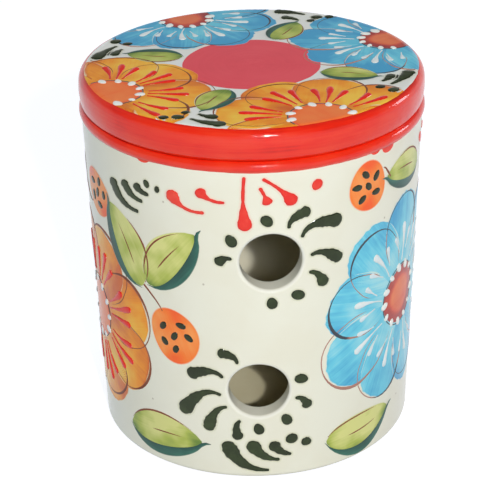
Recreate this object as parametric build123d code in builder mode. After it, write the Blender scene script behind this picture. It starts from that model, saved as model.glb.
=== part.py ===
from build123d import *
from math import acos, degrees, radians, sin
import os

# Ceramic garlic keeper: a slightly tapered pot with two round air vents, and a flat lid that drops into its mouth.
# Millimetres. The origin is the centre of the foot, +Z is up, and the vents face -Y.

# Pot
JAR_HEIGHT = 123.6  # from the table to the lip, where the lid sits
LIP_RADIUS = 60.6  # widest point of the rolled lip
LIP_OVERHANG = 0.6  # how far the lip stands out from the wall below it
LIP_ROUND = 2.1  # radius of the roll
BASE_TAPER = 4.0  # how much less the radius is at the table than at the lip
WALL = 7.4
FLOOR = 7.5  # from the table to the inside
BASE_EDGE_ROUND = 1.8
FLOOR_CORNER_ROUND = 6.0  # inside, where the wall meets the floor
MOUTH_EDGE_ROUND = 1.6

# Foot ring, the unglazed ring that the pot stands on
FOOT_WIDTH = 6.0
FOOT_DEPTH = 1.6  # how far the hollow inside the ring rises
FOOT_EDGE_ROUND = 0.7

# Air vents, one above the other and a little staggered round the wall
VENT_DIAMETER = 21.0
VENT_EDGE_ROUND = 1.1
LOWER_VENT_RISE = 36.2  # centre above the table
UPPER_VENT_DROP = 37.1  # centre below the lip
VENT_STAGGER = 4.7  # degrees, the upper vent towards +X

# Lid
LID_SETBACK = 0.2  # how far the lid's rim stays inside the lip, all round
LID_RIM_HEIGHT = 11.2
LID_SIDE_BULGE = 0.8  # how far the middle of the rim's side stands out from its corners
LID_TOP_ROUND = 3.4
LID_BOTTOM_ROUND = 2.2
LID_PLATE = 6.6  # thickness of the lid inside the ring
RING_CLEARANCE = 1.6  # from the ring to the mouth, all round
RING_WIDTH = 5.2
RING_DEPTH = 8.0  # how far the ring reaches below the seat
RING_EDGE_ROUND = 1.5
RING_ROOT_ROUND = 1.0  # outside, where the ring meets the seat
LID_INNER_ROUND = 3.0  # inside the ring, where it meets the plate

# What follows from them
neck_radius = LIP_RADIUS - LIP_OVERHANG
base_radius = LIP_RADIUS - BASE_TAPER
roll_centre_radius = LIP_RADIUS - LIP_ROUND
roll_centre_height = JAR_HEIGHT - LIP_ROUND
roll_start = degrees(acos((neck_radius - roll_centre_radius) / LIP_ROUND))
neck_height = roll_centre_height - LIP_ROUND * sin(radians(roll_start))
mouth_radius = neck_radius - WALL
floor_radius = base_radius - WALL
foot_inner_radius = base_radius - BASE_EDGE_ROUND - FOOT_WIDTH
vents = [
    (LOWER_VENT_RISE, 0),
    (JAR_HEIGHT - UPPER_VENT_DROP, VENT_STAGGER),
]
lid_radius = LIP_RADIUS - LID_SETBACK
lid_corner_radius = lid_radius - LID_SIDE_BULGE
lid_top = JAR_HEIGHT + LID_RIM_HEIGHT
lid_underside = lid_top - LID_PLATE
ring_outer_radius = mouth_radius - RING_CLEARANCE
ring_inner_radius = ring_outer_radius - RING_WIDTH
ring_foot = JAR_HEIGHT - RING_DEPTH

# Pot: half its section, turned about the axis, then each vent cut through the front wall and its edges eased
with BuildPart() as jar:
    with BuildSketch(Plane.XZ) as jar_section:
        with BuildLine():
            foot = Polyline(
                (0, FOOT_DEPTH),
                (foot_inner_radius, FOOT_DEPTH),
                (foot_inner_radius, 0),
                (base_radius, 0),
            )
            Line(foot @ 1, (neck_radius, neck_height))
            CenterArc((roll_centre_radius, roll_centre_height), LIP_ROUND, -roll_start, 90 + roll_start)
            lip_top = Line((roll_centre_radius, JAR_HEIGHT), (mouth_radius, JAR_HEIGHT))
            inside = Polyline(lip_top @ 1, (floor_radius, FLOOR), (0, FLOOR))
            Line(inside @ 1, foot @ 0)
        make_face()
        jar_rounds = [
            ((base_radius, 0), BASE_EDGE_ROUND),
            ((foot_inner_radius, 0), FOOT_EDGE_ROUND),
            ((floor_radius, FLOOR), FLOOR_CORNER_ROUND),
            ((mouth_radius, JAR_HEIGHT), MOUTH_EDGE_ROUND),
        ]
        for corner, round_radius in jar_rounds:
            fillet(jar_section.vertices().sort_by_distance(corner)[0], round_radius)
    revolve(axis=Axis.Z)
    for vent_height, vent_turn in vents:
        vent_plane = Plane(origin=(0, 0, vent_height), z_dir=Vector(0, -1, 0).rotate(Axis.Z, vent_turn))
        with BuildSketch(vent_plane):
            Circle(VENT_DIAMETER / 2)
        extrude(amount=LIP_RADIUS, mode=Mode.SUBTRACT)
        fillet(jar.edges(Select.LAST).filter_by(GeomType.LINE, reverse=True), VENT_EDGE_ROUND)
jar.part.label = "jar"

# Lid: its rim sits on the lip, and the ring underneath drops into the mouth
with BuildPart() as lid:
    with BuildSketch(Plane.XZ) as lid_section:
        with BuildLine():
            underside = Polyline(
                (0, lid_underside),
                (ring_inner_radius, lid_underside),
                (ring_inner_radius, ring_foot),
                (ring_outer_radius, ring_foot),
                (ring_outer_radius, JAR_HEIGHT),
                (lid_corner_radius, JAR_HEIGHT),
            )
            rim_side = ThreePointArc(
                underside @ 1,
                (lid_radius, JAR_HEIGHT + LID_RIM_HEIGHT / 2),
                (lid_corner_radius, lid_top),
            )
            Polyline(rim_side @ 1, (0, lid_top), underside @ 0)
        make_face()
        lid_rounds = [
            ((lid_corner_radius, lid_top), LID_TOP_ROUND),
            ((lid_corner_radius, JAR_HEIGHT), LID_BOTTOM_ROUND),
            ((ring_outer_radius, JAR_HEIGHT), RING_ROOT_ROUND),
            ((ring_outer_radius, ring_foot), RING_EDGE_ROUND),
            ((ring_inner_radius, ring_foot), RING_EDGE_ROUND),
            ((ring_inner_radius, lid_underside), LID_INNER_ROUND),
        ]
        for corner, round_radius in lid_rounds:
            fillet(lid_section.vertices().sort_by_distance(corner)[0], round_radius)
    revolve(axis=Axis.Z)
lid.part.label = "lid"

os.makedirs("parts", exist_ok=True)
export_step(jar.part, "parts/jar.step")
export_step(lid.part, "parts/lid.step")
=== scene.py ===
import bpy
import random
from math import acos, atan2, cos, hypot, pi, radians, sin, sqrt, tau
from mathutils import Matrix, Vector


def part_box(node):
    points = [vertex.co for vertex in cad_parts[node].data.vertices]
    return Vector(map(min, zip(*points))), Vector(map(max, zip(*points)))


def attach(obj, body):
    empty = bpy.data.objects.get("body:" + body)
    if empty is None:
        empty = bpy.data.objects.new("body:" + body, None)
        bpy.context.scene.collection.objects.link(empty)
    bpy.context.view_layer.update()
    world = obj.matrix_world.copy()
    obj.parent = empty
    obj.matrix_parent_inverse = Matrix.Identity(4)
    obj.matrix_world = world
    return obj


# A glazed garlic keeper: a vented pot and a flat lid, hand-painted with flowers, leaves and loose strokes.
# Lengths are in millimetres, and those of meshes and lamps in metres. +Z is up, and the vents face -Y.

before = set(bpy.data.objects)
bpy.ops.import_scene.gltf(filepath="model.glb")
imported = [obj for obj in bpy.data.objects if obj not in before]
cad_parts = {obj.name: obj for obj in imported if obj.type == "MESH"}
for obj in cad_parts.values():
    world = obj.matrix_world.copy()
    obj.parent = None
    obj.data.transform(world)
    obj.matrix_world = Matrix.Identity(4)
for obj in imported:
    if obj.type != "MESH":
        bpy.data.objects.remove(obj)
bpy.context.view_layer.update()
scene = bpy.context.scene
MM = 0.001

# ---- sizes

pot_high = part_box("jar")[1] / MM
lid_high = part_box("lid")[1] / MM
POT_HEIGHT = pot_high.z
LIP_RADIUS = pot_high.x
LIP_OVERHANG = 0.6
LIP_ROUND = 2.1
LIP_ROUND_RADIUS = LIP_RADIUS - LIP_ROUND
NECK_RADIUS = LIP_RADIUS - LIP_OVERHANG
NECK_ANGLE = acos((NECK_RADIUS - LIP_ROUND_RADIUS) / LIP_ROUND)
NECK_HEIGHT = POT_HEIGHT - LIP_ROUND - LIP_ROUND * sin(NECK_ANGLE)
BASE_TAPER = 4.0
BASE_RADIUS = LIP_RADIUS - BASE_TAPER
WALL = 7.4
WALL_SLOPE = (NECK_RADIUS - BASE_RADIUS) / NECK_HEIGHT
WALL_RADIUS = (NECK_RADIUS + BASE_RADIUS) / 2
FOOT_RING_START = 48.0
VENT_RADIUS = 10.5
LOWER_VENT_RISE = 36.2
UPPER_VENT_DROP = 37.1
UPPER_VENT_TURN = radians(4.7)
VENTS = [(0.0, LOWER_VENT_RISE), (UPPER_VENT_TURN, POT_HEIGHT - UPPER_VENT_DROP)]

LID_TOP = lid_high.z
LID_RADIUS = lid_high.x
LID_RIM_HEIGHT = LID_TOP - POT_HEIGHT
LID_BULGE = 0.8
LID_TOP_ROUND = 3.4
LID_BOTTOM_ROUND = 2.2
BULGE_RADIUS = ((LID_RIM_HEIGHT / 2) ** 2 + LID_BULGE**2) / (2 * LID_BULGE)
BULGE_CENTRE = LID_RADIUS - BULGE_RADIUS
BULGE_HEIGHT = POT_HEIGHT + LID_RIM_HEIGHT / 2
TOP_ROUND_RISE = LID_RIM_HEIGHT / 2 - LID_TOP_ROUND
TOP_ROUND_RADIUS = BULGE_CENTRE + sqrt((BULGE_RADIUS - LID_TOP_ROUND) ** 2 - TOP_ROUND_RISE**2)
BOTTOM_ROUND_DROP = LID_RIM_HEIGHT / 2 - LID_BOTTOM_ROUND
BOTTOM_ROUND_RADIUS = BULGE_CENTRE + sqrt((BULGE_RADIUS - LID_BOTTOM_ROUND) ** 2 - BOTTOM_ROUND_DROP**2)
SEAT_START = 51.0
SEAT_END = 57.2

RED_DISC_RADIUS = 24.2
RED_RIM_START = 57.9  # at the front
RED_RIM_NARROWS = 0.7  # towards the back
CLEAR_OF_RIM = 1.5  # between raised strokes and the edge of a painting
PAINT_ON_BEND = 0.08  # how much thicker paint is where the lid's top bends down
PAINT_BEFORE_BEND = 1.4  # how far before the bend it starts to thicken
BLEED = 0.9  # how far thick paint has run into the glaze round it
BLEED_RIM = -0.13  # a bleed's rim stays below this, so it never shows as the stroke
THINNEST = 0.02  # least half width of a stroke
FEWEST_POINTS = 7  # a shorter part of a line isn't drawn
LONGEST_DOT = 5  # a longer stroke is a comma


def mix(low, high, amount):
    return low + (high - low) * amount


def ease(amount):
    amount = min(1.0, max(0.0, amount))
    return amount * amount * (3 - 2 * amount)


def dome(part):
    """How high a round top of 1 stands, so far from its middle."""
    return sqrt(max(0.0, 1 - part * part))


def polar(away, angle):
    """The place that lies so far from the middle, at an angle from +x."""
    return away * cos(angle), away * sin(angle)


def add_object(name, data):
    made = bpy.data.objects.new(name, data)
    scene.collection.objects.link(made)
    return made


# ---- surfaces that are painted on


def pot_wall(x, z, raised):
    """The pot's outside: x mm round the wall from the front, z mm above the table."""
    angle = x / WALL_RADIUS
    radius = BASE_RADIUS + WALL_SLOPE * z
    normal = Vector((sin(angle), -cos(angle), -WALL_SLOPE)).normalized()
    return Vector((radius * sin(angle), -radius * cos(angle), z)) + normal * raised, normal


def lid_top(x, y, raised):
    """The lid's top, down over its rim. Paint is thicker on the bend, so its flat faces stay clear of it."""
    reach = hypot(x, y)
    bend = max(0.0, reach - TOP_ROUND_RADIUS) / LID_TOP_ROUND
    radius = min(reach, TOP_ROUND_RADIUS) + LID_TOP_ROUND * sin(bend)
    outward = Vector((x, y, 0)) / reach if reach > 0 else Vector((1, 0, 0))
    normal = outward * sin(bend) + Vector((0, 0, cos(bend)))
    place = outward * radius + Vector((0, 0, LID_TOP - LID_TOP_ROUND * (1 - cos(bend))))
    thicker = PAINT_ON_BEND * ease(1 + (reach - TOP_ROUND_RADIUS) / PAINT_BEFORE_BEND)
    return place + normal * (raised + thicker), normal


# ---- node trees


def colour(*screen):
    """A screen colour, 0 to 255, as the linear colour that a shader takes."""
    linear = [c / 255 / 12.92 if c <= 10 else ((c / 255 + 0.055) / 1.055) ** 2.4 for c in screen]
    return (*linear, 1.0)


class Tree:
    """Short ways to add and join the nodes of one tree."""

    def __init__(self, tree):
        self.tree = tree

    def node(self, kind, sockets=None, **settings):
        made = self.tree.nodes.new("ShaderNode" + kind)
        for name, value in settings.items():
            setattr(made, name, value)
        for name, value in (sockets or {}).items():
            self.join(value, made.inputs[name])
        return made

    def join(self, value, socket):
        if isinstance(value, bpy.types.NodeSocket):
            self.tree.links.new(value, socket)
        else:
            socket.default_value = value

    def math(self, operation, first, second=0.0, clamp=False):
        return self.node("Math", {0: first, 1: second}, operation=operation, use_clamp=clamp).outputs[0]

    def plus(self, first, second, clamp=False):
        return self.math("ADD", first, second, clamp)

    def minus(self, first, second, clamp=False):
        return self.math("SUBTRACT", first, second, clamp)

    def times(self, first, second, clamp=False):
        return self.math("MULTIPLY", first, second, clamp)

    def vector(self, operation, first, second=(0, 0, 0)):
        made = self.node("VectorMath", {0: first, 1: second}, operation=operation)
        return made.outputs["Value" if operation in ("LENGTH", "DOT_PRODUCT") else "Vector"]

    def mix(self, amount, first, second):
        made = self.node("Mix", {"Factor": amount, "A": first, "B": second}, data_type="RGBA")
        return made.outputs["Result"]

    def ramp(self, value, low, high, to_low=0.0, to_high=1.0):
        sockets = {"Value": value, "From Min": low, "From Max": high, "To Min": to_low, "To Max": to_high}
        return self.node("MapRange", sockets, interpolation_type="SMOOTHSTEP").outputs["Result"]

    def noise(self, vector, scale, detail=2.0, roughness=0.5):
        sockets = {"Vector": vector, "Scale": scale, "Detail": detail, "Roughness": roughness}
        return self.node("TexNoise", sockets).outputs[0]

    def painted(self, name, output="Fac"):
        """A value that a mesh of paint carries at each point."""
        return self.node("Attribute", attribute_name=name).outputs[output]

    def millimetres(self):
        return self.vector("MULTIPLY", self.node("TexCoord").outputs["Object"], (1 / MM, 1 / MM, 1 / MM))

    def height(self, place):
        return self.node("SeparateXYZ", {0: place}).outputs["Z"]

    def radius(self, place):
        return self.vector("LENGTH", self.vector("MULTIPLY", place, (1, 1, 0)))

    def placed(self, group_tree, *values):
        """Adds a node group with these values, and returns its outputs."""
        return self.node("Group", dict(enumerate(values)), node_tree=group_tree).outputs


COLOUR_SOCKETS = ("Colour", "Thin", "Full", "Deep", "Ground")


def group(name, inputs, outputs, build):
    """A node group with these sockets, between which build adds the nodes."""
    tree = bpy.data.node_groups.new(name, "ShaderNodeTree")
    for direction, sockets in (("INPUT", inputs), ("OUTPUT", outputs)):
        for socket_name in sockets:
            kind = "NodeSocketColor" if socket_name in COLOUR_SOCKETS else "NodeSocketFloat"
            tree.interface.new_socket(socket_name, in_out=direction, socket_type=kind)
    nodes = Tree(tree)
    given = tree.nodes.new("NodeGroupInput").outputs
    result = tree.nodes.new("NodeGroupOutput").inputs
    for socket_name, value in build(nodes, given).items():
        nodes.join(value, result[socket_name])
    return tree


def build_fired_glaze(nodes, given):
    place = nodes.millimetres()
    cloud = nodes.times(nodes.ramp(nodes.noise(place, 0.06, 3.0), 0.35, 0.7), 0.6)
    cream = nodes.mix(cloud, colour(240, 238, 218), colour(236, 232, 209))
    white = nodes.mix(cloud, colour(238, 239, 232), colour(229, 230, 221))
    glaze = nodes.mix(nodes.math("GREATER_THAN", given["Height"], POT_HEIGHT), cream, white)
    on_top = nodes.math("GREATER_THAN", nodes.height(place), LID_TOP - 1)
    # The disc's colour holds its red and a painted sheen of the glaze's reflection
    in_disc = nodes.ramp(nodes.radius(place), RED_DISC_RADIUS - 0.3, RED_DISC_RADIUS, 1.0, 0.0)
    return {"Colour": nodes.mix(nodes.times(in_disc, on_top), glaze, colour(*RED_DISC_AND_SHEEN))}


def build_brush_wash(nodes, given):
    stroke = nodes.painted("stroke", "Vector")
    along_stroke = nodes.vector("MULTIPLY", stroke, (0.05, 1.0, 1.0))
    streak = nodes.plus(nodes.noise(along_stroke, 1.5, 2.0, 0.55), nodes.noise(along_stroke, 0.4))
    streak = nodes.minus(streak, 1.0)
    cloud = nodes.times(nodes.minus(nodes.noise(stroke, 0.09), 0.5), given["Clouds"])
    depth = nodes.times(streak, nodes.times(given["Streaks"], 0.5))
    depth = nodes.plus(nodes.plus(depth, cloud), nodes.painted("tone"))
    rim = nodes.painted("rim")
    depth = nodes.plus(depth, nodes.ramp(rim, 0.25, 1.3, given["Pooling"], 0.0), clamp=True)
    paint = nodes.mix(nodes.times(depth, 2.0, clamp=True), given["Thin"], given["Full"])
    paint = nodes.mix(nodes.minus(nodes.times(depth, 2.0), 1.0, clamp=True), paint, given["Deep"])
    ground = nodes.mix(0.45, given["Ground"], given["Thin"])
    cover = nodes.times(nodes.ramp(rim, 0.0, 0.45), given["Opacity"])
    return {"Colour": nodes.mix(cover, ground, paint), "Brush Lines": streak}


def build_glaze_ripple(nodes, given):
    place = nodes.millimetres()
    broad = nodes.times(nodes.noise(place, given["Broad Scale"], 1.0), given["Broad Depth"])
    fine = nodes.times(nodes.noise(place, given["Fine Scale"]), given["Fine Depth"])
    return {"Height": nodes.plus(broad, fine)}


def build_pinholes(nodes, given):
    cell = nodes.node("TexVoronoi", {"Vector": nodes.millimetres(), "Scale": given["Scale"]}).outputs
    hole = nodes.ramp(cell["Distance"], 0.03, 0.09, 1.0, 0.0)
    lot = nodes.node("SeparateColor", {0: cell["Color"]}).outputs[0]
    return {"Mask": nodes.times(hole, nodes.math("LESS_THAN", lot, given["Share"]))}


# The lid's red disc, paler and pinker than its paint as a painted sheen of the glaze's reflection
RED_DISC_AND_SHEEN = (240, 80, 92)
FIRED_GLAZE = group("fired_glaze", ["Height"], ["Colour"], build_fired_glaze)
PINHOLES = group("pinholes", ["Scale", "Share"], ["Mask"], build_pinholes)
WASH_INPUTS = ["Thin", "Full", "Deep", "Ground", "Streaks", "Clouds", "Pooling", "Opacity"]
BRUSH_WASH = group("brush_wash", WASH_INPUTS, ["Colour", "Brush Lines"], build_brush_wash)
RIPPLE_INPUTS = ["Broad Scale", "Broad Depth", "Fine Scale", "Fine Depth"]
GLAZE_RIPPLE = group("glaze_ripple", RIPPLE_INPUTS, ["Height"], build_glaze_ripple)
SMOOTH_RIPPLE = (0.05, 0.12, 0.25, 0.012)
BAND_RIPPLE = (0.1, 0.16, 0.7, 0.06)
STROKE_RIPPLE = (0.3, 0.06, 1.0, 0.02)


def new_material(name, values):
    """A material with these values on its shader. Returns it, its nodes and its shader."""
    material = bpy.data.materials.new(name)
    material.use_nodes = True
    nodes = Tree(material.node_tree)
    shader = material.node_tree.nodes["Principled BSDF"]
    for socket, value in values.items():
        nodes.join(value, shader.inputs[socket])
    return material, nodes, shader


def glossy(name, specular=0.03, coat=0.5, coat_roughness=0.05):
    """A fired material under clear gloss, whose colour is still to be joined."""
    values = {
        "Roughness": 0.4,
        "Specular IOR Level": specular,
        "Coat Weight": coat,
        "Coat Roughness": coat_roughness,
    }
    return new_material(name, values)


def uneven(nodes, shader, ripple, lines=0.0):
    """Bends the light on a surface by its ripple and the lines left by a brush, in mm."""
    height = nodes.placed(GLAZE_RIPPLE, *ripple)["Height"]
    sockets = {"Height": nodes.plus(height, lines), "Distance": MM, "Strength": 1.0}
    bump = nodes.node("Bump", sockets).outputs["Normal"]
    nodes.join(bump, shader.inputs["Normal"])
    nodes.join(bump, shader.inputs["Coat Normal"])


def bare_glaze(nodes):
    """The glaze's own colour at the same spot, for paint to fade into."""
    return nodes.placed(FIRED_GLAZE, nodes.height(nodes.millimetres()))["Colour"]


def wash_paint(name, colours, spread, opacity=0.97, ripple=SMOOTH_RIPPLE, line_depth=0.004, **gloss):
    """Brushed paint: its colours where thin, full and deep, and how streaked, cloudy and pooled it is."""
    material, nodes, shader = glossy(name, **gloss)
    linear = [colour(*screen) for screen in colours]
    wash = nodes.placed(BRUSH_WASH, *linear, bare_glaze(nodes), *spread, opacity)
    nodes.join(wash["Colour"], shader.inputs["Base Color"])
    uneven(nodes, shader, ripple, nodes.times(wash["Brush Lines"], line_depth))
    return material


def relief_paint(name, body, pale, edge, bleed):
    """Thick paint, paler where less was on the brush and darker at its rim as painted shade round a lit
    crown, and what has bled from it.
    """
    material, nodes, shader = glossy(name, coat=0.6)
    nicks = nodes.minus(nodes.noise(nodes.millimetres(), 1.3, 3.0, 0.65), 0.5)
    rim = nodes.plus(nodes.painted("rim"), nodes.times(nicks, 0.55))
    mottle = nodes.ramp(nodes.noise(nodes.millimetres(), 0.4, 3.0), 0.4, 0.75, 0.0, 0.35)
    paleness = nodes.plus(nodes.painted("tone"), mottle, clamp=True)
    paint = nodes.mix(paleness, colour(*body), colour(*pale))
    # Darker towards the rim: painted shade, so that the crown looks lit
    paint = nodes.mix(nodes.ramp(rim, 0.05, 0.6, 0.85, 0.0), paint, colour(*edge))
    run_out = nodes.times(nodes.ramp(rim, -BLEED, 0.1), 0.55)
    halo = nodes.mix(run_out, bare_glaze(nodes), colour(*bleed))
    nodes.join(nodes.mix(nodes.ramp(rim, -0.12, 0.05), halo, paint), shader.inputs["Base Color"])
    uneven(nodes, shader, STROKE_RIPPLE)
    return material


def line_paint(name, over_glaze, over_paint):
    """A thin outline, darker where it crosses paint."""
    material, nodes, shader = glossy(name, coat=0.25)
    mottle = nodes.times(nodes.noise(nodes.millimetres(), 0.5), 0.2)
    amount = nodes.plus(nodes.painted("tone"), mottle, clamp=True)
    nodes.join(nodes.mix(amount, colour(*over_glaze), colour(*over_paint)), shader.inputs["Base Color"])
    return material


def glaze_over_clay(name, height, bare_parts):
    """A fired glaze with a few pinholes. bare_parts colours the other parts, and says how bare they are."""
    material, nodes, shader = glossy(name)
    place = nodes.millimetres()
    paint = nodes.placed(FIRED_GLAZE, height)["Colour"]
    specks = nodes.placed(PINHOLES, 0.16, 0.12)["Mask"]
    paint = nodes.mix(nodes.times(specks, 0.5), paint, colour(140, 118, 88))
    paint, bare = bare_parts(nodes, place, paint)
    nodes.join(paint, shader.inputs["Base Color"])
    nodes.join(nodes.plus(nodes.times(bare, 0.4), 0.35), shader.inputs["Roughness"])
    nodes.join(nodes.times(nodes.minus(1.0, bare), 0.5), shader.inputs["Coat Weight"])
    uneven(nodes, shader, SMOOTH_RIPPLE)
    return material


def clay(nodes, place):
    grain = nodes.ramp(nodes.noise(place, 1.6, 4.0, 0.7), 0.3, 0.7)
    return nodes.mix(grain, colour(206, 186, 154), colour(186, 160, 124))


def pot_parts(nodes, place, paint):
    """Whiter glaze round the vents, a creamier glaze inside, tan on the floor, and a bare foot."""
    radius = nodes.radius(place)
    height = nodes.height(place)
    for turn, rise in VENTS:
        axis = (sin(turn), -cos(turn), 0)
        offset = nodes.vector("SUBTRACT", place, (0, 0, rise))
        away = nodes.vector("LENGTH", nodes.vector("CROSS_PRODUCT", offset, axis))
        edge = nodes.math("ABSOLUTE", nodes.minus(away, VENT_RADIUS + 0.4))
        front = nodes.math("GREATER_THAN", nodes.vector("DOT_PRODUCT", offset, axis), 0.0)
        white = nodes.times(nodes.ramp(edge, 0.0, 0.9, 0.4, 0.0), front)
        paint = nodes.mix(white, paint, colour(247, 246, 240))
    inner_radius = nodes.plus(nodes.times(height, WALL_SLOPE), BASE_RADIUS - WALL)
    above_foot = nodes.math("GREATER_THAN", height, 3.0)
    inside = nodes.times(nodes.ramp(nodes.minus(inner_radius, radius), -0.7, 0.1), above_foot)
    cloud = nodes.ramp(nodes.noise(place, 0.06), 0.3, 0.7)
    wall_glaze = nodes.mix(cloud, colour(244, 239, 216), colour(240, 233, 206))
    floor_glaze = nodes.mix(cloud, colour(241, 231, 194), colour(236, 224, 184))
    paint = nodes.mix(inside, paint, nodes.mix(nodes.ramp(height, 10.0, 22.0), floor_glaze, wall_glaze))
    on_ring = nodes.math("GREATER_THAN", radius, FOOT_RING_START)
    foot = nodes.times(nodes.ramp(height, 0.25, 0.6, 1.0, 0.0), on_ring)
    return nodes.mix(foot, paint, clay(nodes, place)), foot


def lid_parts(nodes, place, paint):
    """A bare ring of clay where the lid sits on the lip."""
    radius = nodes.radius(place)
    low = nodes.ramp(nodes.height(place), POT_HEIGHT + 0.1, POT_HEIGHT + 0.4, 1.0, 0.0)
    past_start = nodes.ramp(radius, SEAT_START, SEAT_START + 0.6)
    before_end = nodes.ramp(radius, SEAT_END - 0.6, SEAT_END, 1.0, 0.0)
    seat = nodes.times(low, nodes.times(past_start, before_end))
    return nodes.mix(seat, paint, clay(nodes, place)), seat


# Colours of each wash where it is thin, full and deep
BLUES = ((168, 230, 236), (105, 208, 230), (58, 164, 210))
ORANGES = ((254, 202, 64), (250, 154, 16), (220, 100, 16))
BERRY_REDS = ((255, 164, 84), (255, 126, 36), (255, 92, 16))
CENTRE_REDS = ((242, 128, 72), (226, 84, 52), (160, 40, 46))
EMBERS = ((255, 134, 60), (255, 102, 36), (222, 62, 30))
LEAF_GREENS = ((222, 222, 136), (180, 192, 82), (104, 136, 46))
SHADE_GREENS = ((58, 122, 102), (28, 88, 76), (12, 56, 50))
# The disc's washes are paler and pinker than its paint: a painted sheen of the glaze's reflection
RED_DISC_WASHES_AND_SHEEN = ((246, 96, 104), RED_DISC_AND_SHEEN, (226, 68, 80))
# The band's deep red also serves as the painted shade in the crease between lid and lip
BAND_REDS = ((244, 74, 36), (234, 34, 8), (140, 8, 6))
BAND_LOOK = {
    "opacity": 1.0,
    "ripple": BAND_RIPPLE,
    "line_depth": 0.03,
    "specular": 0.08,
    "coat": 0.7,
    "coat_roughness": 0.03,
}

# Each paint's material slot and material
WASHES = {
    "blue": ("blue_enamel", wash_paint("brushed_blue", BLUES, (1.1, 1.3, 0.1))),
    "orange": ("orange_enamel", wash_paint("brushed_orange", ORANGES, (0.6, 1.5, 0.22))),
    "berry": ("orange_enamel", wash_paint("brushed_berry", BERRY_REDS, (0.6, 1.5, 0.15))),
    "centre": ("red_enamel", wash_paint("brushed_centre", CENTRE_REDS, (0.5, 0.9, 0.2))),
    "ember": ("orange_enamel", wash_paint("brushed_ember", EMBERS, (0.5, 1.0, 0.2))),
    "leaf": ("leaf_enamel", wash_paint("brushed_leaf", LEAF_GREENS, (0.6, 2.1, 0.12))),
    "shade": ("leaf_enamel", wash_paint("brushed_leaf_shade", SHADE_GREENS, (0.9, 0.9, 0.05))),
    "disc": ("red_enamel", wash_paint("brushed_crimson_and_sheen", RED_DISC_WASHES_AND_SHEEN, (0.5, 0.5, 0.1), 1.0)),
    "band": ("red_enamel", wash_paint("brushed_red", BAND_REDS, (0.75, 0.5, 0.0), **BAND_LOOK)),
}
# Colours of each thick paint: its body, where it is pale, its edge, a painted shade round a lit crown, and
# its bleed
DARK_GREENS = ((32, 42, 10), (58, 74, 34), (14, 20, 4), (190, 192, 140))
WHITES = ((244, 244, 236), (204, 228, 238), (226, 228, 220), (236, 236, 224))
REDS = ((236, 38, 26), (246, 84, 60), (220, 28, 22), (246, 190, 164))
PAINTS = WASHES | {
    "green": ("dark_green_relief", relief_paint("raised_dark_green", *DARK_GREENS)),
    "white": ("white_relief", relief_paint("raised_white", *WHITES)),
    "red": ("red_enamel", relief_paint("raised_red", *REDS)),
    "line": ("brown_line", line_paint("brown_outline", (188, 136, 118), (74, 78, 86))),
    "warm_line": ("brown_line", line_paint("warm_outline", (142, 84, 60), (126, 66, 40))),
}


# ---- strokes of paint


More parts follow.
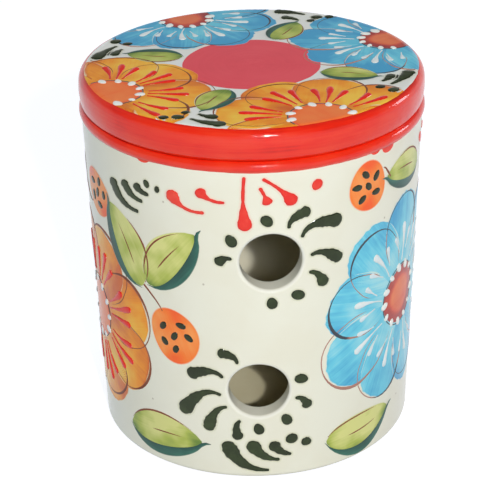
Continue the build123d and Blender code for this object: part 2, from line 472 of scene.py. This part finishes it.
class Painting:
    """The painting on one body: its surface, and a coat of each paint. It keeps within its edge, if it has
    one, depth says which washes are deeper, and brush is the width of the outlines."""

    def __init__(self, body, surface, edge=None, depth=None, brush=0.33):
        self.body = body
        self.surface = surface
        self.edge = edge
        self.depth = depth or {}
        self.brush = brush
        self.coats = {}
        self.random = random.Random(body)

    def add(self, name, rows, closed=False, left_out=()):
        """Joins rows of (point, normal, stroke, rim, tone) into a sheet. Closed rows are rings, and a face
        whose corners are all left out isn't made."""
        spots, faces = self.coats.setdefault(name, ([], []))
        first = len(spots)
        width = len(rows[0])
        for row in rows:
            spots += row
        for i in range(len(rows) - 1):
            for j in range(width if closed else width - 1):
                near = first + i * width + j
                side = first + i * width + (j + 1) % width
                face = (near, near + width, side + width, side)
                if not (left_out and all(left_out[corner - first] for corner in face)):
                    faces.append(face)

    def outside(self, x, y, margin=0.0):
        return self.edge is not None and hypot(x, y) > self.edge - margin

    def wash(self, name, move, rows, columns, spot, raised, closed=False):
        """A flat sheet of paint. For each row and column, spot gives its place in the motif's frame, how far
        inside the rim it is, and its tone."""
        shift = Vector([self.random.uniform(-500, 500) for _ in range(3)])
        deeper = self.depth.get(name, 0.0)
        sheet = []
        left_out = []
        for i in rows:
            sheet.append([])
            for j in columns:
                along, across, rim, tone = spot(i, j)
                x, y = move(along, across)
                left_out.append(self.outside(x, y))
                within = self.edge / hypot(x, y) if left_out[-1] else 1.0
                point, normal = self.surface(x * within, y * within, raised)
                sheet[-1].append((point, normal, Vector((along, across, 0)) + shift, rim, tone + deeper))
        if not all(left_out):
            self.add(name, sheet, closed, left_out)

    def stroke(self, name, line, widths, tones, height, sunk=0.05, flat=2.0, rim_at=None, sides=4):
        """A raised stroke along a line. widths are half widths, and flat above 2 levels its crown. rim_at
        gives how far inside the edge a spot is, from the number of its point and its offset."""
        if any(self.outside(x, y, CLEAR_OF_RIM) for x, y in line):
            return
        shift = self.random.uniform(-500, 500)
        widest = max(widths)
        lengths = lengths_along(line)
        rows = []
        for i, (x, y) in enumerate(line):
            ahead = Vector(line[min(len(line) - 1, i + 1)]) - Vector(line[max(0, i - 1)])
            side = ahead.orthogonal().normalized()
            lift = height * sqrt(widths[i] / widest)
            rows.append([])
            for j in range(-sides, sides + 1):
                lean = sin(pi / 2 * j / sides)
                rise = lift * max(0.0, 1 - abs(lean) ** flat) ** (1 / flat)
                offset = lean * widths[i]
                point, normal = self.surface(x + side.x * offset, y + side.y * offset, rise - sunk)
                rim = rim_at(i, offset) if rim_at else (1 - abs(lean)) * widths[i]
                rows[-1].append((point, normal, Vector((lengths[i] + shift, offset, shift)), rim, tones[i]))
        self.add(name, rows)

    def thick(self, name, line, widths, grown, height, flat, tone, rim_at):
        """A thick stroke, or where it has grown, the flat bleed round it."""

        def bleed_rim(*at):
            return min(BLEED_RIM, rim_at(*at))

        if grown:
            self.stroke(name, line, widths, [0.0] * len(line), 0.0, -0.015, rim_at=bleed_rim)
        else:
            self.stroke(name, line, widths, [tone] * len(line), height, flat=flat, rim_at=rim_at)

    def thin(self, name, line, widths, tones, height=0.16):
        """A thin line, drawn wherever enough of it is within the painting."""
        parts = [[]]
        for spot in zip(line, widths, tones):
            if self.outside(*spot[0], CLEAR_OF_RIM):
                parts.append([])
            else:
                parts[-1].append(spot)
        for part in parts:
            if len(part) >= FEWEST_POINTS:
                self.stroke(name, *zip(*part), height, sunk=0.0, sides=2)

    def make(self):
        for name, (spots, faces) in self.coats.items():
            slot, material = PAINTS[name]
            points, normals, strokes, rims, tones = zip(*spots)
            mesh = bpy.data.meshes.new(f"{self.body}_{name}")
            mesh.from_pydata([point * MM for point in points], [], faces)
            numbers = [number for vector in strokes for number in vector]
            mesh.attributes.new("stroke", "FLOAT_VECTOR", "POINT").data.foreach_set("vector", numbers)
            for attribute, values in (("rim", rims), ("tone", tones)):
                mesh.attributes.new(attribute, "FLOAT", "POINT").data.foreach_set("value", values)
            mesh.shade_smooth()
            if name in WASHES:
                mesh.normals_split_custom_set_from_vertices(normals)
            mesh.materials.append(material)
            piece = add_object(f"{self.body}_{name}", mesh)
            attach(piece, self.body)


def curve(start, bend, end, steps):
    """Points of a quadratic curve."""
    points = []
    for i in range(steps + 1):
        t = i / steps
        ends = zip(start, bend, end)
        points.append([(1 - t) ** 2 * a + 2 * t * (1 - t) * b + t * t * c for a, b, c in ends])
    return points


def lengths_along(points):
    """The distance along a line of points, at each of them."""
    lengths = [0.0]
    for near, far in zip(points, points[1:]):
        lengths.append(lengths[-1] + hypot(far[0] - near[0], far[1] - near[1]))
    return lengths


def placer(x, y, turn, scale=1.0):
    """Moves a motif drawn round its own origin to its place on the surface."""
    c = cos(turn) * scale
    s = sin(turn) * scale
    return lambda u, v: (x + c * u - s * v, y + s * u + c * v)


# ---- motifs


def drop(painting, name, move, ends, width, tail, height, flat=2.0, bleeds=False, thins=0.8, tone=0.0):
    """A comma or teardrop, whose ends are its head, bend and tail. It thins within a share of its length."""
    fine = curve(*ends, 48)
    lengths = lengths_along(fine)
    length = lengths[-1]
    wobble = painting.random.uniform(0, tau)

    def spot(s):
        step = 0
        while step < len(lengths) - 2 and lengths[step + 1] < s:
            step += 1
        part = (s - lengths[step]) / (lengths[step + 1] - lengths[step])
        return move(*(mix(a, b, part) for a, b in zip(fine[step], fine[step + 1])))

    for grown in (BLEED, 0.0) if bleeds else (0.0,):
        head = width + grown
        foot = tail + grown
        places = [width - head * cos(pi / 2 * i / 6) for i in range(6)]
        places += [mix(width, length - tail, i / 14) for i in range(15)]
        places += [length - tail + foot * sin(pi / 2 * i / 4) for i in range(1, 5)]
        bodies = []
        widths = []
        for s in places:
            part = (s / length - 0.12) / thins
            taper = mix(width, tail, (ease(part) + min(1.0, max(0.0, part))) / 2)
            waver = 0.07 * sin(wobble + s * 1.1) + 0.06 * sin(2 * wobble + s * 2.9)
            bodies.append(taper * (1 + waver) + grown)
            nose = dome(max(0.0, (width - s) / head))
            widths.append(max(THINNEST, bodies[-1] * nose * dome(max(0.0, (s - length + tail) / foot))))

        def rim_at(i, offset):
            if places[i] < width:
                inside = head - hypot(width - places[i], offset)
            elif places[i] > length - tail:
                inside = foot - hypot(places[i] - length + tail, offset)
            else:
                inside = bodies[i] - abs(offset)
            return inside - grown

        painting.thick(name, [spot(s) for s in places], widths, grown, height, flat, tone, rim_at)


def dot(painting, name, move, x, y, long, wide, turn, height, flat=2.0, bleeds=False, tone=0.0):
    """A round or egg-shaped spot of thick paint."""
    egg = painting.random.uniform(-0.2, 0.2)
    reaches = [-cos(pi * i / 12) for i in range(13)]
    for grown in (BLEED, 0.0) if bleeds else (0.0,):
        spot = placer(x, y, turn, (long + grown) * 0.99)
        line = [move(*spot(t, 0)) for t in reaches]
        widths = [max(THINNEST, (wide + grown) * (1 + egg * t) * dome(t)) for t in reaches]

        def rim_at(i, offset):
            return (1 - hypot(reaches[i], offset / (wide + grown))) * (min(long, wide) + grown) - grown

        painting.thick(name, line, widths, grown, height, flat, tone, rim_at)


PETAL_NECK = 0.34
PETAL_ROUND_TIP = 0.3


def petal_spot(start, length, width, reach, lean):
    """A point of a petal that points along +x: reach runs 0 to 1 to the tip, lean -1 to 1 across it."""
    column = length * (1 - PETAL_ROUND_TIP * (1 - dome(lean)))
    x = start + reach * (column - start)
    half = width / 2 * (PETAL_NECK + (1 - PETAL_NECK) * sin(pi / 2 * min(1.0, reach / 0.82)) ** 1.25)
    return x, lean * half, column, half


def petal(painting, name, move, start, length, width, layer, line_name, ragged, tone_of):
    """One brushed petal with a ragged tip, and its loose outline."""
    chance = painting.random
    columns = 13
    rows = 30
    fringe = []
    waves = [(chance.uniform(0, tau), chance.uniform(3, 9)) for _ in range(3)]
    for j in range(-columns, columns + 1):
        slow = sum(sin(phase + rate * (j / columns)) for phase, rate in waves) / 3
        fringe.append(ragged * (0.65 * slow + 0.35 * chance.uniform(-1, 1)))

    def brushed(i, j):
        reach = (i / rows) ** 0.85
        lean = sin(pi / 2 * j / columns)
        x, y, column, half = petal_spot(start, length, width, reach, lean)
        x += fringe[j + columns] * max(0.0, reach - 0.5) * 2
        side = (1 - abs(lean)) * half + max(0.0, 0.5 - reach) * 12
        return x, y, min((1 - reach) * (column - start), side), tone_of(reach, lean)

    across = range(-columns, columns + 1)
    painting.wash(name, move, range(rows + 1), across, brushed, 0.02 + 0.004 * layer)

    longer = chance.uniform(-0.08, 0.05) * length
    wider = chance.uniform(-0.1, 0.06) * width
    turn = placer(0, 0, radians(chance.uniform(-4, 4)))
    left = chance.uniform(0.3, 0.55)
    right = chance.uniform(0.05, 0.3)
    if chance.random() < 0.5:
        left, right = right, left
    path = [(mix(left, 1.0, i / 9), -1.0) for i in range(9)]
    path += [(1.0, sin(pi / 2 * (i / 9 - 1))) for i in range(19)]
    path += [(mix(1.0, right, i / 9), 1.0) for i in range(1, 10)]
    line = []
    tones = []
    for reach, lean in path:
        x, y, *_ = petal_spot(start, length + longer, width + wider, reach, lean)
        x, y = turn(x, y)
        line.append(move(x, y))
        tip = petal_spot(start, length, width, 1.0, min(1.0, abs(y) * 2 / width))[0]
        side = petal_spot(start, length, width, max(0.0, (x - start) / (length - start)), 1.0)[1]
        tones.append(1.0 if x < tip and abs(y) < side else 0.0)
    heavy = chance.uniform(0.25, 0.75)
    thick = painting.brush * chance.uniform(0.82, 1.15)
    widths = []
    for i in range(len(line)):
        t = i / (len(line) - 1)
        swell = 0.65 + 1.35 * ease(1 - abs(t - heavy) / 0.22)
        widths.append(thick * swell * max(0.12, min(1.0, t * 12, (1 - t) * 12)))
    painting.thin(line_name, line, widths, tones, 0.14)


def flower_centre(painting, name, move, radius, dots, core):
    """A round centre with a darker rim outside its core, a line round it and a ring of white dots."""

    def brushed(i, j):
        reach = i / 12
        angle = tau * j / 64
        away = radius * reach * (1 + 0.03 * sin(3 * angle + radius))
        tone = mix(0.2, 0.9, ease((reach - core) / 0.25))
        return *polar(away, angle), radius * (1 - reach) + 0.2, tone

    painting.wash(name, move, range(13), range(64), brushed, 0.085, closed=True)
    ring = [move(*polar(radius * 1.04, tau * j / 48)) for j in range(49)]
    painting.thin("line", ring, [0.25] * 49, [1.0] * 49)
    for j in range(dots):
        angle = tau * (j + 0.3) / dots
        size = painting.random.uniform(0.78, 1.36)
        place = polar(radius * 0.97, angle)
        dot(painting, "white", move, *place, 1.5 * size, 1.15 * size, angle + 0.4, 0.6)


def petals_round(painting, x, y, radius, turn, petals, longest, towards):
    """The number, placer and reach of each petal but those that point away from where the flower faces."""
    for i in range(petals):
        angle = turn + tau * i / petals
        if towards is None or cos(angle - towards) >= -0.8:
            yield i, placer(x, y, angle), radius * painting.random.uniform(0.95, longest)


def blue_flower(painting, x, y, radius, turn, towards=None):
    """A rosette of broad blue petals, each with one long white drop between two short ones."""
    chance = painting.random
    for i, move, reach in petals_round(painting, x, y, radius, turn, 9, 1.03, towards):
        slant = chance.choice((-1, 1)) * chance.uniform(0.12, 0.26)

        def tone(along, lean):
            return 0.36 + slant * lean + 0.26 * ease((along - 0.35) / 0.6)

        petal(painting, "blue", move, radius * 0.17, reach, radius * 0.62, i, "line", 1.1, tone)
        ends = ((reach * 0.7, chance.uniform(-0.6, 0.6)), (reach * 0.5, -1.2), (reach * 0.33, 0.3))
        drop(painting, "white", move, ends, 1.3, 0.28, 0.42, thins=0.55, tone=0.3)
        for side in (-1, 1):
            start = (reach * 0.6, side * radius * 0.15)
            ends = (start, (reach * 0.5, side * 3.9), (reach * 0.42, side * 2.4))
            drop(painting, "white", move, ends, 1.0, 0.25, 0.35, thins=0.55, tone=0.6)
    flower_centre(painting, "centre", placer(x, y, turn), radius * 0.28, 13, 0.5)


def orange_flower(painting, x, y, radius, turn, towards=None):
    """A sunny flower of round orange petals, each with three red strokes."""
    for i, move, reach in petals_round(painting, x, y, radius, turn, 8, 1.04, towards):
        slant = painting.random.choice((-1, 1))

        def tone(along, lean):
            deeper = 0.2 * ease((along - 0.6) / 0.4) + 0.25 * ease((0.5 - along) / 0.4)
            return 0.4 + 0.34 * slant * lean + deeper

        petal(painting, "orange", move, radius * 0.17, reach, radius * 0.74, i, "warm_line", 0.5, tone)
        for side in (-1, 0, 1):
            wide = side * radius
            head = (reach * (0.7 if side else 0.78), wide * 0.17)
            ends = (head, (reach * 0.55, wide * 0.1 - 0.5), (reach * 0.37, wide * 0.06))
            drop(painting, "red", move, ends, 1.3, 0.36, 0.55, thins=0.7)
    flower_centre(painting, "ember", placer(x, y, turn), radius * 0.31, 12, 0.85)


def leaf(painting, x, y, turn, length, width, bend, shade_side):
    """An almond leaf in two greens, with a dark brush stroke along one edge, a vein and half an outline."""
    move = placer(x, y, turn)

    def middle(t):
        return bend * sin(pi * t)

    def half(t):
        return width / 2 * sin(pi * min(1.0, max(0.0, t)) ** 0.86) ** 0.62

    def brushed(i, j):
        t = 0.004 + 0.992 * i / 16
        lean = sin(pi / 2 * j / 9)
        ends = max(ease((0.3 - t) / 0.3), ease((t - 0.8) / 0.2))
        tone = 0.2 + 0.55 * ends + 0.2 * lean * shade_side
        return t * length, middle(t) + lean * half(t), (1 - abs(lean)) * half(t), tone

    def shaded(i, j):
        t = -0.02 + 1.12 * i / 20
        lean = j / 3
        depth = width * 0.26 * max(0.02, sin(pi * i / 20)) ** 0.7
        edge = middle(t) + shade_side * half(t) * 0.93
        rim = (1 - abs(lean)) * depth / 2 + (0.12 if lean * shade_side > 0 else 0.45)
        return t * length, edge + lean * depth / 2 + shade_side * depth * 0.25, rim, 0.5 + 0.25 * lean

    painting.wash("leaf", move, range(17), range(-9, 10), brushed, 0.09)
    painting.wash("shade", move, range(21), range(-3, 4), shaded, 0.12)

    start = painting.random.uniform(0.22, 0.34)
    places = [mix(start, 0.8, i / 10) for i in range(11)]
    vein = [move(length * t, middle(t) * 0.9) for t in places]
    widths = [0.34 * min(1.0, 0.2 + i / 3, 0.2 + (10 - i) / 6) for i in range(11)]
    painting.thin("warm_line", vein, widths, [0.4] * 11)
    inset = painting.random.uniform(0.75, 1.02) * shade_side
    stop = painting.random.uniform(0.75, 0.97)
    places = [mix(0.03, stop, i / 16) for i in range(17)]
    side = [move(length * t, middle(t) - half(t) * inset) for t in places]
    widths = [0.4 * min(1.0, 0.3 + i / 4, 0.25 + (16 - i) / 9) for i in range(17)]
    painting.thin("warm_line", side, widths, [0.2] * 17)


def berry(painting, x, y, radius, turn, bend, leaf_end):
    """A round brushed berry with dark seeds, on a thin stem that bends on its way to a leaf."""
    move = placer(x, y, turn)
    chance = painting.random

    def brushed(i, j):
        reach = i / 9
        angle = tau * j / 44
        away = radius * reach * (1 + 0.05 * sin(2 * angle + x) + 0.03 * sin(3 * angle))
        tone = 0.3 + 0.6 * max(0.0, cos(2 * angle + 0.8)) ** 1.5 * ease((reach - 0.25) / 0.6)
        return away * cos(angle) * 1.08, away * sin(angle), radius * (1 - reach), tone

    painting.wash("berry", move, range(10), range(44), brushed, 0.06, closed=True)
    for i in range(6):
        ring = 0.0 if i == 5 else chance.uniform(0.5, 0.62) * radius
        angle = tau * i / 5 + chance.uniform(0.3, 0.7)
        place = polar(ring, angle)
        long = chance.uniform(1.7, 2.2)
        dot(painting, "green", move, *place, long, 1.25, chance.uniform(0, pi), 0.35, 3.0)
    start_x, start_y = polar(radius, atan2(bend[1] - y, bend[0] - x))
    stem = curve((x + start_x, y + start_y), bend, leaf_end, 12)
    painting.thin("warm_line", stem, [mix(0.2, 0.45, i / 12) for i in range(13)], [0.0] * 13, 0.14)


def wreath(painting, vent, strokes):
    """Commas and dots round a vent, thin ends towards it. strokes are (degrees, length, curl)."""
    chance = painting.random
    turn, rise = vent
    for degrees, length, curl in strokes:
        move = placer(WALL_RADIUS * turn, rise, radians(degrees + chance.uniform(-3, 3)))
        gap = CLEAR_OF_VENT + chance.uniform(-0.3, 0.5)
        width = 1.6 + 0.075 * length
        tone = chance.uniform(0, 0.45)
        half = length / 2
        if length < LONGEST_DOT:
            lean = chance.uniform(-0.7, 0.7)
            dot(painting, "green", move, gap + half, 0, half + 0.2, width, lean, 0.32, 4.0, True, tone)
        else:
            head = (gap + length * chance.uniform(0.92, 1.0), curl * length * 0.44)
            bend = (gap + length * 0.38, -curl * length * chance.uniform(0.2, 0.32))
            drop(painting, "green", move, (head, bend, (gap, 0)), width, 0.7, 0.34, 4.0, True, tone=tone)


def sprig(painting, name, x, z, turn, size, flip, strokes, tail=0.7, thins=0.8):
    """Thick commas and dots, turned and flipped. strokes are (u, v, degrees, length, curl, width): the head
    is at (u, v), and the tail sets off at so many degrees and curls to the left."""
    place = placer(x, z, turn, size)
    chance = painting.random
    for u, v, degrees, length, curl, width in strokes:
        towards = turn + flip * radians(degrees + chance.uniform(-5, 5))
        move = placer(*place(u, flip * v), towards, size * chance.uniform(0.93, 1.05))
        tone = chance.uniform(0, 0.45)
        width *= size * 1.08
        half = length / 2
        if length < LONGEST_DOT:
            dot(painting, name, move, 0, 0, half * size, width, 0.0, 0.34, 4.0, True, tone)
        else:
            curled = flip * radians(curl)
            ends = ((0, 0), (half, 0), (half * (1 + cos(curled)), half * sin(curled)))
            drop(painting, name, move, ends, width, tail, 0.36, 4.0, True, thins, tone)


# Groups of strokes, as sprig takes them
NESTED = [
    (0, 7, -75, 23, 72, 2.6),
    (8, 7.5, -72, 15, 66, 2.3),
    (15, 7, -66, 9.5, 60, 2.0),
    (21.5, 7.5, 10, 4.0, 0, 1.8),
    (26.5, 5.5, -20, 3.4, 0, 1.5),
]
HANGING = [
    (-21, -8, -60, 18, 72, 2.3),
    (-11, -6, -58, 11.5, 60, 2.0),
    (4.5, -20.5, 100, 20, -14, 2.2),
    (12, -11, 112, 7.5, 10, 1.8),
    (20.5, -11.5, 126, 14.5, 26, 2.1),
    (28.0, -5.5, 60, 4.2, 0, 1.7),
]
LID_STROKES = (
    [
        (54.3, -9.5, 75, 13, 34, 2.2),
        (49.0, -5.0, 72, 8.5, 50, 1.9),
        (53.0, 7.6, 75, 4.4, 0, 1.8),
        (54.6, 12.0, 75, 3.6, 0, 1.5),
        (48.6, 6.6, 60, 3.2, 0, 1.3),
    ],
    [
        (54.4, 10.5, -82, 15, -30, 2.3),
        (49.4, 5.2, -80, 8, -40, 1.8),
        (54.0, -8.6, 75, 4.6, 0, 1.8),
        (49.0, -7.4, 40, 3.6, 0, 1.4),
    ],
)


# ---- bare pot and lid, and their red bands

for body, glaze in (
    ("jar", glaze_over_clay("cream_glaze", 0.0, pot_parts)),
    ("lid", glaze_over_clay("white_glaze", LID_TOP, lid_parts)),
):
    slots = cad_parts[body].data.materials
    slots.clear()
    slots.append(glaze)


def arc_spots(radius, height, size, first, last, steps):
    """Points of a profile's arc and their outward directions, angles in radians above level."""
    spots = []
    for i in range(steps + 1):
        angle = mix(first, last, i / steps)
        spots.append((radius + size * cos(angle), height + size * sin(angle), cos(angle), sin(angle)))
    return spots


def wavy(angle, seed):
    """An edge that a hand has painted: several waves round the pot."""
    waves = ((0.5, 3, 1), (0.3, 7, 2), (0.2, 19, 3), (0.12, 53, 5))
    return sum(size * sin(rate * angle + shift * seed) for size, rate, shift in waves)


def red_band(painting, profile_at, painted_edge_first, edge_tone):
    """A band of thick red enamel round the body, with the section that profile_at gives, upwards. It carries
    painted shade in the seam, darkest on the left, and is deeper by edge_tone along its painted edge."""
    steps = 720
    rows = []
    for i in range(steps + 1):
        angle = tau * i / steps + pi / 2
        profile = profile_at(angle)
        lengths = lengths_along(profile)
        # Painted shade: the band is painted darker in the crease between lid and lip, darkest on the left
        seam_shade = 0.74 - 0.3 * cos(angle)
        rows.append([])
        for (radius, height, out, rise), length in zip(profile, lengths):
            edge = length if painted_edge_first else lengths[-1] - length
            seam = lengths[-1] - edge
            normal = Vector((*polar(out, angle), rise))
            point = Vector((*polar(radius, angle), height))
            point += normal * mix(-0.05, 0.2, ease(edge / 0.4))
            tone = mix(seam_shade, 0.42, ease((seam - 0.35) / 0.9)) + edge_tone * ease(1 - edge / 1.8)
            rows[-1].append((point, normal, Vector((angle * 60, length, 7)), edge + 0.25, tone))
    painting.add("band", rows)


# Where the lip's red has run down: degrees, half width and depth
LIP_RUNS = [(-42, 3.0, 2.1), (-48, 1.8, 0.9), (-128, 2.2, 0.9), (35, 2.6, 1.5), (150, 2.0, 1.1)]


def lip_profile(angle):
    low = NECK_HEIGHT - 0.35 + 0.22 * wavy(angle, 1.3)
    for place, width, depth in LIP_RUNS:
        away = abs((angle - radians(place) + pi) % tau - pi) * LIP_RADIUS
        low -= depth * dome(away / width)
    spots = []
    for i in range(10):
        height = mix(low, NECK_HEIGHT, (i / 10) ** 1.5)
        spots.append((BASE_RADIUS + WALL_SLOPE * height, height, 1.0, -WALL_SLOPE))
    return spots + arc_spots(LIP_ROUND_RADIUS, POT_HEIGHT - LIP_ROUND, LIP_ROUND, -NECK_ANGLE, pi / 2, 14)


def rim_profile(angle):
    start_radius = RED_RIM_START + RED_RIM_NARROWS * ease((1 + sin(angle)) / 2) + 0.2 * wavy(angle, 0.4)
    start = acos((start_radius - TOP_ROUND_RADIUS) / LID_TOP_ROUND)
    upper = atan2(TOP_ROUND_RISE, TOP_ROUND_RADIUS - BULGE_CENTRE)
    lower = -atan2(BOTTOM_ROUND_DROP, BOTTOM_ROUND_RADIUS - BULGE_CENTRE)
    top = arc_spots(TOP_ROUND_RADIUS, LID_TOP - LID_TOP_ROUND, LID_TOP_ROUND, start, upper, 12)
    side = arc_spots(BULGE_CENTRE, BULGE_HEIGHT, BULGE_RADIUS, upper, lower, 8)
    base_height = POT_HEIGHT + LID_BOTTOM_ROUND
    base = arc_spots(BOTTOM_ROUND_RADIUS, base_height, LID_BOTTOM_ROUND, lower, -pi / 2, 10)
    return (top + side[1:] + base[1:])[::-1]


# ---- painting the pot

pot = Painting("jar", pot_wall)

blue_flower(pot, 62, 58, 40.5, 0.15)
orange_flower(pot, 142, 54, 37, 0.1)
blue_flower(pot, -147, 63, 36, 0.5)
orange_flower(pot, -77, 49, 37, 0.35)

for x, z, degrees, length, width, bend, side in (
    (-43, 71, 118, 31, 16, -1.5, 1),
    (-40, 73, 50, 30, 15.5, 1.5, -1),
    (-54, 11, 4, 33, 15.5, 1.5, -1),
    (25, 11, 7, 31, 15, -1.6, -1),
    (74, 105, 172, 25, 12.5, -1.4, 1),
    (134, 100, 168, 25, 13, -1.4, 1),
    (88, 12, 2, 30, 14.5, 1.5, -1),
    (159, 13, 6, 29, 14, -1.5, -1),
    (-147, 13, -3, 30, 14, 1.5, -1),
    (-84, 96, 165, 25, 13, -1.4, 1),
):
    leaf(pot, x, z, radians(degrees), length, width, bend, side)

berry(pot, -30, 55, 9.8, 1.9, (-36, 67), (-42, 72))
berry(pot, 40, 108, 8.4, -1.2, (48, 113), (51, 108))
berry(pot, 104, 90, 9.0, -1.2, (106, 101), (112, 103))
berry(pot, -67, 98, 8.6, -0.4, (-76, 90), (-84, 96))

CLEAR_OF_VENT = 13.4
LOWER_WREATH = [(126, 7.5, 1), (159, 12, 1), (-173, 16.5, 1), (-148, 12, 1), (-118, 7.5, 1)]
LOWER_WREATH += [(-88, 4.4, 0), (-52, 4.6, 0), (-18, 6.5, -1), (14, 4.8, 0)]
UPPER_WREATH = [(96, 4.4, 0), (66, 9, -1), (38, 14, -1), (8, 11, -1), (-24, 8, -1), (-56, 4.6, 0)]
UPPER_WREATH += [(-90, 4.2, 0), (176, 5.5, 1), (146, 4.6, 0)]
wreath(pot, VENTS[1], UPPER_WREATH)
wreath(pot, VENTS[0], LOWER_WREATH)
for x, z, degrees, size, flip in (
    (-12, 7.5, 0, 1.1, 1),
    (123, 6.5, 0, 0.85, 1),
    (-92, 6.5, 180, 0.8, -1),
    (-177, 6.5, 0, 0.85, 1),
    (-54, 103, 8, 0.8, 1),
):
    sprig(pot, "green", x, z, radians(degrees), size, flip, NESTED)
UNDER_LIP = 119.2
for x, size, flip in ((-8, 1.0, 1), (91, 0.7, 1), (160, 0.85, 1), (-130, 0.8, -1)):
    sprig(pot, "red", x, UNDER_LIP, 0.0 if flip > 0 else pi, size, flip, HANGING, 0.6, 0.4)

red_band(pot, lip_profile, True, -0.25)
pot.make()

# ---- painting the lid

LID_DEPTH = {"blue": 0.38, "leaf": 0.36, "orange": -0.12}
lid = Painting("lid", lid_top, edge=RED_RIM_START + 1.0, depth=LID_DEPTH, brush=0.25)

FLOWER_REACH = 54.0
FLOWER_RADIUS = 34.5
LEAF_REACH = 25.5
for degrees, painter in ((207, orange_flower), (294, orange_flower), (24, blue_flower), (116, blue_flower)):
    angle = radians(degrees)
    painter(lid, *polar(FLOWER_REACH, angle), FLOWER_RADIUS, angle + pi + 0.2, towards=angle + pi)
for i, degrees in enumerate((250.5, 339, 70, 161.5)):
    angle = radians(degrees)
    side = 1 if i % 2 else -1
    leaf(lid, *polar(LEAF_REACH, angle), angle + 0.12 * side, 20, 11.5, 0.9 * side, -side)
    sprig(lid, "green", 0, 0, angle, 1.0, side, LID_STROKES[i % 2])

red_band(lid, rim_profile, False, 0.18)
disc = []
for i in range(12):
    reach = min(1.0, i / 10)
    raised = 0.012 if i < 11 else -0.03
    rim = RED_DISC_RADIUS * (1 - reach) + 0.15
    disc.append([])
    for j in range(120):
        angle = tau * j / 120
        radius = reach * (RED_DISC_RADIUS + 0.3 * wavy(angle, 2.2))
        point, normal = lid_top(*polar(radius, angle), raised)
        disc[-1].append((point, normal, Vector((angle * 12, radius * 0.5, 40)), rim, 0.5))
lid.add("disc", disc, closed=True)
lid.make()

# ---- floor, light and camera


def seen_rays(nodes):
    """1 for rays that show the background itself: the camera's, and those that gloss or glass sends."""
    path = nodes.node("LightPath").outputs
    seen = nodes.plus(path["Is Camera Ray"], path["Is Glossy Ray"])
    return nodes.plus(seen, path["Is Transmission Ray"], clamp=True)


HALF_FLOOR = 4.0
FLOOR_DROP = 0.1 * MM
corners = ((-1, -1), (1, -1), (1, 1), (-1, 1))
floor_corners = [(x * HALF_FLOOR, y * HALF_FLOOR, -FLOOR_DROP) for x, y in corners]
floor_mesh = bpy.data.meshes.new("floor")
floor_mesh.from_pydata(floor_corners, [], [(0, 1, 2, 3)])
floor = add_object("floor", floor_mesh)
floor_values = {
    "Base Color": (0.41, 0.44, 0.5, 1),
    "Roughness": 0.9,
    "Specular IOR Level": 0.0,
    "Emission Color": (1, 1, 1, 1),
}
material, nodes, shader = new_material("pale_floor", floor_values)
nodes.join(nodes.times(seen_rays(nodes), 0.8), shader.inputs["Emission Strength"])
floor_mesh.materials.append(material)

world = bpy.data.worlds.new("studio")
world.use_nodes = True
scene.world = world
nodes = Tree(world.node_tree)
background = world.node_tree.nodes["Background"]
seen = seen_rays(nodes)
direction = nodes.node("TexCoord").outputs["Generated"]


def glow(towards, spread, strength):
    """Soft light from one side of the room; a higher spread narrows it."""
    toward = nodes.math("MAXIMUM", nodes.vector("DOT_PRODUCT", direction, towards), 0.0)
    return nodes.times(nodes.math("POWER", toward, spread), strength)


left = nodes.plus(glow((-0.94, 0.34, 0.0), 1.0, 0.4), glow((-0.73, 0.68, 0.0), 6.0, 1.5))
back = nodes.plus(glow((0.35, 0.93, -0.1), 2.0, 0.6), 0.15)
strength = nodes.plus(left, back)
backdrop = nodes.ramp(nodes.height(direction), 0.1, 0.42, 1.0, 0.15)
strength = nodes.plus(strength, nodes.times(seen, nodes.minus(backdrop, strength)))
nodes.join(strength, background.inputs["Strength"])
cool = nodes.minus(left, seen, clamp=True)
nodes.join(nodes.mix(cool, (1, 1, 1, 1), (0.66, 0.83, 1, 1)), background.inputs["Color"])


def lamp(name, azimuth, elevation, distance, width, height, power, tint=(1, 1, 1)):
    """A rectangular lamp aimed at the pot, azimuth degrees towards +X from the front."""
    light = bpy.data.lights.new(name, "AREA")
    light.energy = power
    light.shape = "RECTANGLE"
    light.size = width
    light.size_y = height
    light.color = tint
    level, rise = polar(distance, radians(elevation))
    made = add_object(name, light)
    made.location = LAMP_AIM + Vector((*polar(level, radians(azimuth - 90)), rise))
    made.rotation_mode = "QUATERNION"
    made.rotation_quaternion = (LAMP_AIM - made.location).to_track_quat("-Z", "Y")


LAMP_AIM = Vector((0, 0, 0.062))
lamp("key", 8.5, 27, 1.3, 0.04, 0.04, 9.2)
lamp("key_strip", 8.5, 27, 1.3, 0.28, 0.03, 3.0)
lamp("overhead", 180, 82, 1.2, 0.2, 0.2, 0.55)
lamp("window", 112, 20, 1.3, 0.3, 0.3, 2.6, (0.95, 0.9, 1.0))

PICTURE_WIDTH = 500
SENSOR_WIDTH = 36
FOCAL_LENGTH = 1811.6 * SENSOR_WIDTH / PICTURE_WIDTH
CAMERA_AIM = Vector((-1.565, 0, 62.04))
CAMERA_DISTANCE = 665.4
TILT = 0.4650
ROLL = -0.0172
TURN = radians(-0.66)
camera = bpy.data.cameras.new("camera")
camera.sensor_width = SENSOR_WIDTH
camera.lens = FOCAL_LENGTH
camera.clip_start = 0.01
camera.clip_end = 20
viewer = add_object("camera", camera)
scene.camera = viewer
back = Vector((0, -cos(TILT), sin(TILT)))
right = Vector((1, 0, 0))
up = back.cross(right)
across = right * cos(ROLL) + up * sin(ROLL)
upward = up * cos(ROLL) - right * sin(ROLL)
pose = Matrix((across, upward, back)).transposed().to_4x4()
pose.translation = (CAMERA_AIM + back * CAMERA_DISTANCE) * MM
viewer.matrix_world = Matrix.Rotation(TURN, 4, "Z") @ pose

scene.view_settings.view_transform = "Standard"
